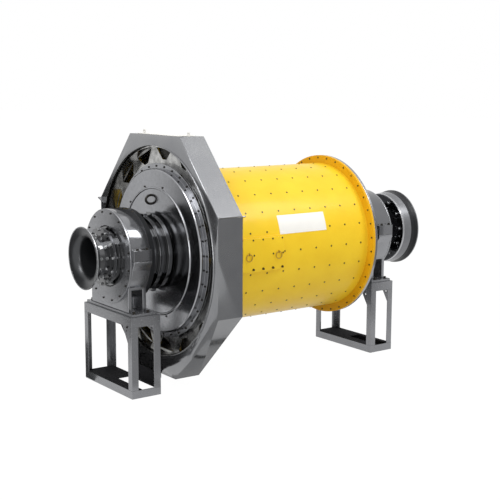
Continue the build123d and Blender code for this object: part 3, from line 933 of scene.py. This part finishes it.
@dataclass
class Bearing:
    """A trunnion bearing's cap, pedestal, cover and seal, drawn for the discharge end."""

    inner: float = 2213.0
    outer: float = 2513.0
    cover: float = 30.0
    cover_bore: float = 452.0
    seal_bore: float = 512.0
    housing: float = 700.0
    seal_width: float = 90.0
    seal_radius: float = 680.0
    cover_bolts: int = 16
    cover_bolt_circle: float = 655.0
    cover_phase: float = 101.2
    split_half: float = 745.0
    split_up: float = 165.0
    foot_half: float = 693.0
    sole_top: float = -769.0
    cover_bolt: Pair = (26.0, 14.0)
    joint_bolt: Pair = (40.0, 30.0)
    joint_inset: Pair = (70.0, 24.0)
    foot_bolt: Pair = (44.0, 34.0)
    foot_inset: Triple = (20.0, 50.0, 60.0)

    def cover_plate(self) -> Shape:
        """The flat ring cover on the outer side."""
        return hoop((self.outer, self.outer + self.cover), (self.cover_bore, self.housing), 6.0)

    def seal_ring(self) -> Shape:
        """The seal ring on the drum side."""
        return hoop((self.inner - self.seal_width, self.inner), (self.seal_bore, self.seal_radius), 10.0)

    def bolt_heads(self) -> Shape:
        """Cover bolts, the joint bolts on both split flanges, and the hold-down bolts on the sole plate.

        Returns:
            The bolts' heads.
        """
        ring = around(self.cover_bolts, self.cover_bolt_circle, self.outer + self.cover, self.cover_phase)
        along, edge = self.joint_inset
        joint = four((self.inner + along, self.outer - along), self.split_half - edge, self.split_up)
        near, far, edge = self.foot_inset
        foot = four((self.inner + near, self.outer - far), self.foot_half - edge, self.sole_top)
        return joined([bolts(ring, (1, 0, 0), *self.cover_bolt), bolts(joint, (0, 0, 1), *self.joint_bolt),
                       bolts(foot, (0, 0, 1), *self.foot_bolt)])

    def build(self, side: Side) -> None:
        """Adds the bearing at one end.

        Args:
            side: The end.
        """
        end = side.name.lower()
        add_piece(f"{end}_cover_plate", self.cover_plate().at(side), Body.FRAME, FLAT_CASTING, f"{end}_bearing_cover")
        add_piece(f"{end}_seal_ring", self.seal_ring().at(side), Body.FRAME, DARK_ENAMEL_AND_BORE_SHADE, f"{end}_bearing_seal")
        for node, finish in (("bearing_cap", GREY_CASTING), ("bearing_pedestal", FLAT_CASTING)):
            softened(f"{end}_{node}", Body.FRAME, finish, 9.0, 3)
        add_piece(f"{end}_bearing_bolts", self.bolt_heads().at(side), Body.FRAME, BLACK_BOLT)


@dataclass
class Stand:
    """A welded stand and its sole plate, with rounded plate edges and anchor bolts."""

    middle: float = 2320.0
    half_x: float = 242.0
    half_y: float = 725.0
    floor: float = -2011.0
    # Height of the point inside the stand whose facing faces take the painted shade.
    deck_shade_heart: float = -1400.0
    corner: Pair = (-602.0, -956.0)
    anchor_inset: float = 50.0
    sill_flange: float = 20.0
    anchor_bolt: Pair = (42.0, 30.0)
    corner_bolt: Pair = (26.0, 14.0)

    def bolt_heads(self) -> Shape:
        """Anchor bolts through the sill's floor flange, one at each corner, and the corner bolt.

        The corner bolt is where the outer gusset meets the head frame.

        Returns:
            The bolts' heads.
        """
        x, y = self.half_x - self.anchor_inset, self.half_y - self.anchor_inset
        anchors = four((self.middle - x, self.middle + x), y, self.floor + self.sill_flange)
        corner = np.array([(self.middle + self.half_x, *self.corner)])
        return joined([bolts(anchors, (0, 0, 1), *self.anchor_bolt), bolts(corner, (1, 0, 0), *self.corner_bolt)])

    def build(self, side: Side) -> None:
        """Adds the stand at one end.

        Args:
            side: The end.
        """
        end = side.name.lower()
        for node in ("stand_posts", "stand_head_frame", "stand_gussets", "sole_plate"):
            softened(f"{end}_{node}", Body.FRAME, STAND_ENAMEL, 3.0)
        # The sill's faces that look into the stand take the dark deck finish: grease and painted shade.
        softened(f"{end}_stand_sill", Body.FRAME, STAND_ENAMEL, 3.0, lining=GREASE_AND_SHADE_DECK,
                 heart=(side.value * self.middle, 0.0, self.deck_shade_heart))
        add_piece(f"{end}_anchor_bolts", self.bolt_heads().at(side), Body.FRAME, BLACK_BOLT)


@dataclass
class Guard:
    """The sheet guard round the girth gear: the hood's slanted edges are folded, and it stands on two blocks."""

    slope: Pair = (42.25, 51.5)
    gear_tip: float = 1660.0
    middle: float = -1509.0
    edge: float = 20.0
    # Width and lifts of the pale strip that paints the edge highlight.
    highlight_width: float = 13.0
    highlight_layers: Pair = (2.0, -3.0)
    front: float = -1719.0
    slant: Pair = (-812.0, 640.0)
    feet: tuple[tuple[Triple, Triple], ...] = (
        ((-1719.0, 20.0, -2011.0), (-1619.0, 557.0, -1886.0)), ((-1479.0, -100.0, -2011.0), (-1299.0, 340.0, -1886.0)))

    def planes(self) -> np.ndarray:
        """The hood's two slanted planes.

        Returns:
            A row of (direction y, direction z, distance) for each.
        """
        angle, gap = self.slope
        y, z = np.cos(radians(angle)), np.sin(radians(angle))
        return np.array([(y, z, self.gear_tip + gap), (-y, z, self.gear_tip + gap)])

    def foot_blocks(self) -> Shape:
        """The blocks under the casing, one at its front and one at its back, both clear of its near corner."""
        return joined([block(low, high) for low, high in self.feet])

    def painted_edge_highlight(self) -> Shape:
        """A pale strip along the hood's slanted front corner: a painted highlight on its edge.

        The strip runs down the edge: P(s, t) = edge(s) + t * (its width across the chamfer) + its lift.

        Returns:
            The closed strip.
        """
        angle = radians(self.slope[0])
        out = np.array([0, -np.cos(angle), np.sin(angle)])
        run = np.array([0, -np.sin(angle), -np.cos(angle)])
        top, low = self.slant
        front = np.array([self.front, 0, 0])
        crest = out * (self.gear_tip + self.slope[1])
        start, end = (front + crest + run * length for length in (top, low))
        lift = (out - [1, 0, 0]) / np.sqrt(2)
        inner, outer = (self.edge + self.highlight_width) / 2, (self.edge - self.highlight_width) / 2
        sides = [np.array([outer, 0, 0]) - out * inner, np.array([inner, 0, 0]) - out * outer]
        grid = np.array([[start + side, end + side] for side in sides])
        return slab(*(grid + height * lift for height in self.highlight_layers))

    def build(self) -> None:
        """Adds the hood, casing and their fittings."""
        # Faces that look into the guard take the dark sheet: grease and painted shade.
        for node in ("guard_hood", "guard_casing"):
            softened(node, Body.FRAME, GREY_ENAMEL, self.edge, 1, self.planes(), GREASE_AND_SHADE_SHEET,
                     (self.middle, 0.0, 0.0))
        softened("guard_split_rails", Body.FRAME, GREY_ENAMEL, 3.0)
        add_piece("guard_foot_blocks", self.foot_blocks(), Body.FRAME, GREY_ENAMEL, "guard_feet")
        # The pale strip on the front corner's chamfer is a painted highlight.
        add_piece("guard_painted_edge_highlight", self.painted_edge_highlight(), Body.FRAME, PALE_PLATE_AND_PAINTED_LIGHT)
        # The guard's top cover and lugs are pale as painted light on the guard's top.
        for node in ("guard_top_cover", "guard_lifting_lugs"):
            softened(node, Body.FRAME, PALE_PLATE_AND_PAINTED_LIGHT, 3.0)


@dataclass
class Manhole:
    """The bolted manhole on the shell."""

    radius: float = 1250.0
    columns: tuple[float, ...] = (-768.0, -587.0, -405.0, -227.0)
    middle: tuple[float, ...] = (-766.0, -409.0, -226.0)
    angles: Triple = (10.6, 0.3, -9.6)
    top_bolt: Pair = (24.0, 10.0)
    low_bolt: Pair = (32.0, 26.0)
    handle_columns: tuple[float, ...] = (-861.0, -311.0)
    handle_radius: float = 54.0
    handle_drop: float = 22.0
    handle_out: float = 14.0
    handle_wire: float = 7.0
    staple: tuple[Pair, ...] = ((-4.0, 14.0), (24.0, 16.0), (30.0, 30.0), (24.0, 44.0), (-4.0, 46.0))
    staple_wire: float = 6.0

    def bolt_heads(self, places: list[Pair], size: Pair) -> Shape:
        """Bolts on the cover.

        Args:
            places: Their places as (x, angle up from the middle in degrees).
            size: A head's width and height.

        Returns:
            The bolts' heads.
        """
        x, a = np.array(places).T
        a = np.radians(a)
        points = np.stack([x, -self.radius * np.cos(a), self.radius * np.sin(a)], -1)
        return bolts(points, outward(points), *size)

    def handles(self) -> Shape:
        """Two rings that hang from staples: P(t) = (x + r cos t, y, r sin t - drop).

        Returns:
            The rings and staples.
        """
        t = np.linspace(0, ALL_ROUND, 32, endpoint=False)
        shapes = []
        for x in self.handle_columns:
            ring = np.stack([x + self.handle_radius * np.cos(t), 0 * t - self.radius - self.handle_out,
                             self.handle_radius * np.sin(t) - self.handle_drop], -1)
            arch = np.array([(x, -self.radius - out, z) for out, z in self.staple])
            shapes += [swept(ring, self.handle_wire, (0, -1, 0), closed=True),
                       swept(arch, self.staple_wire, (1, 0, 0))]
        return joined(shapes)

    def build(self) -> None:
        """Adds the frame, cover, handles and bolts."""
        for node in ("manhole_frame", "manhole_cover"):
            softened(node, Body.DRUM, YELLOW_ENAMEL, 6.0, 3)
        top, level, low = self.angles
        above = [(x, top) for x in self.columns] + [(x, level) for x in self.middle]
        below = [(x, low) for x in self.columns]
        for name, places, size in (("top", above, self.top_bolt), ("bottom", below, self.low_bolt)):
            add_piece(f"manhole_{name}_bolts", self.bolt_heads(places, size), Body.DRUM, PAINTED_BOLT)
        # The rings' darker yellow is painted shade.
        add_piece("manhole_handle_rings", self.handles(), Body.DRUM, SHADED_YELLOW, "manhole_handles")


# Studio


@dataclass
class Studio:
    """Floor, world, lamps, cards and the camera at the photograph's viewpoint.

    Each lamp has (name, place, side in metres, watts). A flag stands across the line of sight and has
    (name, foot, width, height up to which it is plain, height at which it has faded out, glow). A mat
    lies on the floor along the line of sight and has (name, middle, width, depth, glow). A lane lies
    along the mill and has (name, x range, y range, glow).
    """

    camera_place: Triple = (-10.06762, -13.68854, 4.55974)
    camera_turn: Triple = (80.959, -0.2002, -36.0813)
    lens: float = 76.2527
    lamp_target: Triple = (0.0, 0.0, 2.0)
    lamps: tuple[tuple, ...] = (
        ("key", (-9.9, -2.8, 11.3), 6.0, 760.0), ("side", (5.5, -6.0, 10.0), 3.5, 400.0),
        ("top", (1.0, -1.0, 13.0), 12.0, 315.0), ("fill", (-5.0, -13.4, 4.0), 6.0, 390.0))
    flags: tuple[tuple, ...] = (
        ("near_flag", (-5.2, 1.9), 2.0, 3.2, 4.0, 0.0), ("right_flag", (-6.41, 5.23), 1.3, 2.4, 3.4, 0.0),
        ("far_flag", (-1.64, 4.40), 3.4, 3.0, 4.0, 0.0), ("side_flag", (1.4, -4.3), 6.0, 3.0, 4.5, 0.42))
    mats: tuple[tuple, ...] = (
        ("guard_mat", (-2.16, 1.83), 2.53, 3.3, 0.0), ("stand_mat", (-0.9, -3.5), 1.6, 5.4, 0.5))
    lanes: tuple[tuple, ...] = (
        ("upper_lane", (-1.9, -0.3), (-1.6, -1.04), 0.8), ("dark_lane", (-1.9, -0.3), (-1.04, -0.95), 0.0),
        ("lower_lane", (-1.9, -0.3), (-0.95, -0.35), 0.5))
    reflector_place: Triple = (2.9, -5.6, 10.2)
    reflector_target: Triple = (-2.5, -0.6, 2.4)
    reflector_size: Pair = (2.0, 7.4)
    reflector_glow: float = 10.0
    unfaded: Pair = (40.0, 41.0)
    floor_corners: tuple[Triple, ...] = ((-180, -80, 0), (180, -80, 0), (0, 240, 0))
    floor_paint: str = "#cbcbcb"
    floor_glow: float = 1.06
    floor_share: float = 0.93
    world_light: float = 0.55

    def seen(self, tree: bpy.types.NodeTree) -> bpy.types.NodeSocket:
        """One where the ray comes from the camera, a glossy surface or a clear one, otherwise nothing.

        Args:
            tree: The node tree.

        Returns:
            The socket that holds it.
        """
        path = add_node(tree, "ShaderNodeLightPath").outputs
        first = add_node(tree, "ShaderNodeMath", {0: path["Is Camera Ray"], 1: path["Is Glossy Ray"]}, operation="ADD")
        both = add_node(tree, "ShaderNodeMath", {0: first.outputs[0], 1: path["Is Transmission Ray"]}, operation="ADD",
                        use_clamp=True)
        return both.outputs[0]

    def floor(self) -> None:
        """A wide white floor of one triangle, which has no seam in the picture and keeps a faint shadow."""
        mesh = bpy.data.meshes.new("floor")
        mesh.from_pydata(self.floor_corners, [], [(0, 1, 2)])
        made = bpy.data.materials.new("white_floor")
        tree = emptied(made)
        paint = add_node(tree, "ShaderNodeBsdfDiffuse", {"Color": linear(self.floor_paint)})
        glow = add_node(tree, "ShaderNodeEmission", {"Color": linear("#ffffff"), "Strength": self.floor_glow})
        share = add_node(tree, "ShaderNodeMath", {0: self.seen(tree), 1: self.floor_share}, operation="MULTIPLY")
        mixed = add_node(tree, "ShaderNodeMixShader", {0: share.outputs[0], 1: paint.outputs[0], 2: glow.outputs[0]})
        add_node(tree, "ShaderNodeOutputMaterial", {"Surface": mixed.outputs[0]})
        mesh.materials.append(made)
        link("floor", mesh)

    def world(self) -> None:
        """A plain world: white where it is seen, and a soft grey light on the object."""
        world = bpy.data.worlds.new("studio")
        bpy.context.scene.world = world
        tree = emptied(world)
        seen = add_node(tree, "ShaderNodeBackground", {"Color": linear("#ffffff"), "Strength": 1.0})
        lit = add_node(tree, "ShaderNodeBackground", {"Color": linear("#ffffff"), "Strength": self.world_light})
        mixed = add_node(tree, "ShaderNodeMixShader", {0: self.seen(tree), 1: lit.outputs[0], 2: seen.outputs[0]})
        add_node(tree, "ShaderNodeOutputWorld", {"Surface": mixed.outputs[0]})

    def light(self) -> None:
        """Hangs the square soft lamps, each facing the middle of the mill."""
        for name, place, size, power in self.lamps:
            light = bpy.data.lights.new(name, "AREA")
            light.size = size
            light.energy = power
            lamp = link(name, light)
            lamp.location = place
            away = Vector(self.lamp_target) - Vector(place)
            lamp.rotation_euler = away.to_track_quat("-Z", "Y").to_euler()

    def card(self, name: str, middle: Vector, across: Vector, rise: Vector, fade: Pair, glow: float) -> None:
        """Adds a card that only glossy surfaces see, black or glowing up to a height and faded out above it.

        Args:
            name: The card's name.
            middle: Its middle, in metres.
            across: Half its width, as a vector.
            rise: Half its height or depth, as a vector.
            fade: The heights at which it starts to fade and has faded out.
            glow: Its brightness, nothing for a black card.
        """
        mesh = bpy.data.meshes.new(name)
        corners = [middle - across - rise, middle + across - rise, middle + across + rise, middle - across + rise]
        mesh.from_pydata(corners, [], [(0, 1, 2, 3)])
        made = bpy.data.materials.new(name)
        tree = emptied(made)
        place = add_node(tree, "ShaderNodeTexCoord").outputs["Object"]
        height = add_node(tree, "ShaderNodeSeparateXYZ", {0: place}).outputs["Z"]
        gone = add_node(tree, "ShaderNodeMapRange", {"Value": height, "From Min": fade[0], "From Max": fade[1]})
        plain = add_node(tree, "ShaderNodeEmission", {"Color": linear("#ffffff"), "Strength": glow})
        clear = add_node(tree, "ShaderNodeBsdfTransparent")
        mixed = add_node(tree, "ShaderNodeMixShader", {0: gone.outputs[0], 1: plain.outputs[0], 2: clear.outputs[0]})
        add_node(tree, "ShaderNodeOutputMaterial", {"Surface": mixed.outputs[0]})
        mesh.materials.append(made)
        made.cycles.emission_sampling = "NONE"
        card = link(name, mesh)
        card.visible_camera = card.visible_diffuse = card.visible_shadow = card.visible_transmission = False

    def cards(self) -> None:
        """Places the flags, mats, lanes and the reflector, as a photographer does beside a glossy machine."""
        turn = radians(self.camera_turn[2])
        right, ahead = Vector((np.cos(turn), -np.sin(turn), 0)), Vector((np.sin(turn), np.cos(turn), 0))
        up = Vector((0, 0, 1))
        for name, foot, width, low, high, glow in self.flags:
            self.card(name, Vector((*foot, 0.01)) + up * high / 2, right * width / 2, up * high / 2, (low, high), glow)
        for name, middle, width, depth, glow in self.mats:
            self.card(name, Vector((*middle, 0.012)), right * width / 2, ahead * depth / 2, self.unfaded, glow)
        for name, x, y, glow in self.lanes:
            middle = Vector((sum(x) / 2, sum(y) / 2, 0.013))
            self.card(name, middle, Vector(((x[1] - x[0]) / 2, 0, 0)), Vector((0, (y[1] - y[0]) / 2, 0)), self.unfaded,
                      glow)
        place = Vector(self.reflector_place)
        away = (Vector(self.reflector_target) - place).normalized()
        across = away.cross(up).normalized()
        width, height = self.reflector_size
        self.card("cap_reflector", place, across * width / 2, across.cross(away) * height / 2, self.unfaded,
                  self.reflector_glow)

    def camera(self) -> None:
        """Adds the camera."""
        data = bpy.data.cameras.new("camera")
        data.lens = self.lens
        data.sensor_width = 36.0
        data.clip_end = 200.0
        camera = link("camera", data)
        camera.location = self.camera_place
        camera.rotation_euler = [radians(angle) for angle in self.camera_turn]
        bpy.context.scene.camera = camera

    def build(self) -> None:
        """Sets up the whole studio."""
        bpy.context.scene.view_settings.view_transform = "Standard"
        self.camera()
        self.floor()
        self.world()
        self.light()
        self.cards()


def dress_plain_nodes() -> None:
    """Gives the CAD nodes that stay as they are their finish."""
    plain = {
        "drum_liner": LINER_IRON, "girth_gear_upper_half": GEAR_STEEL, "girth_gear_lower_half": GEAR_STEEL,
        "feed_bearing_bush": BEARING_BRONZE, "discharge_bearing_bush": BEARING_BRONZE,
    }
    for name, finish in plain.items():
        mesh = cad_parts[name].data
        mesh.materials.clear()
        mesh.materials.append(finish.material())


def main() -> None:
    """Builds the mill's dress in order."""
    logging.basicConfig(level=logging.INFO, format="%(message)s")
    Studio().build()
    Drum().build()
    Manhole().build()
    for side in Side:
        Head().build(side)
        Trunnion().build(side)
        Bearing().build(side)
        Stand().build(side)
    Guard().build()
    dress_plain_nodes()


if __name__ == "__main__":
    main()
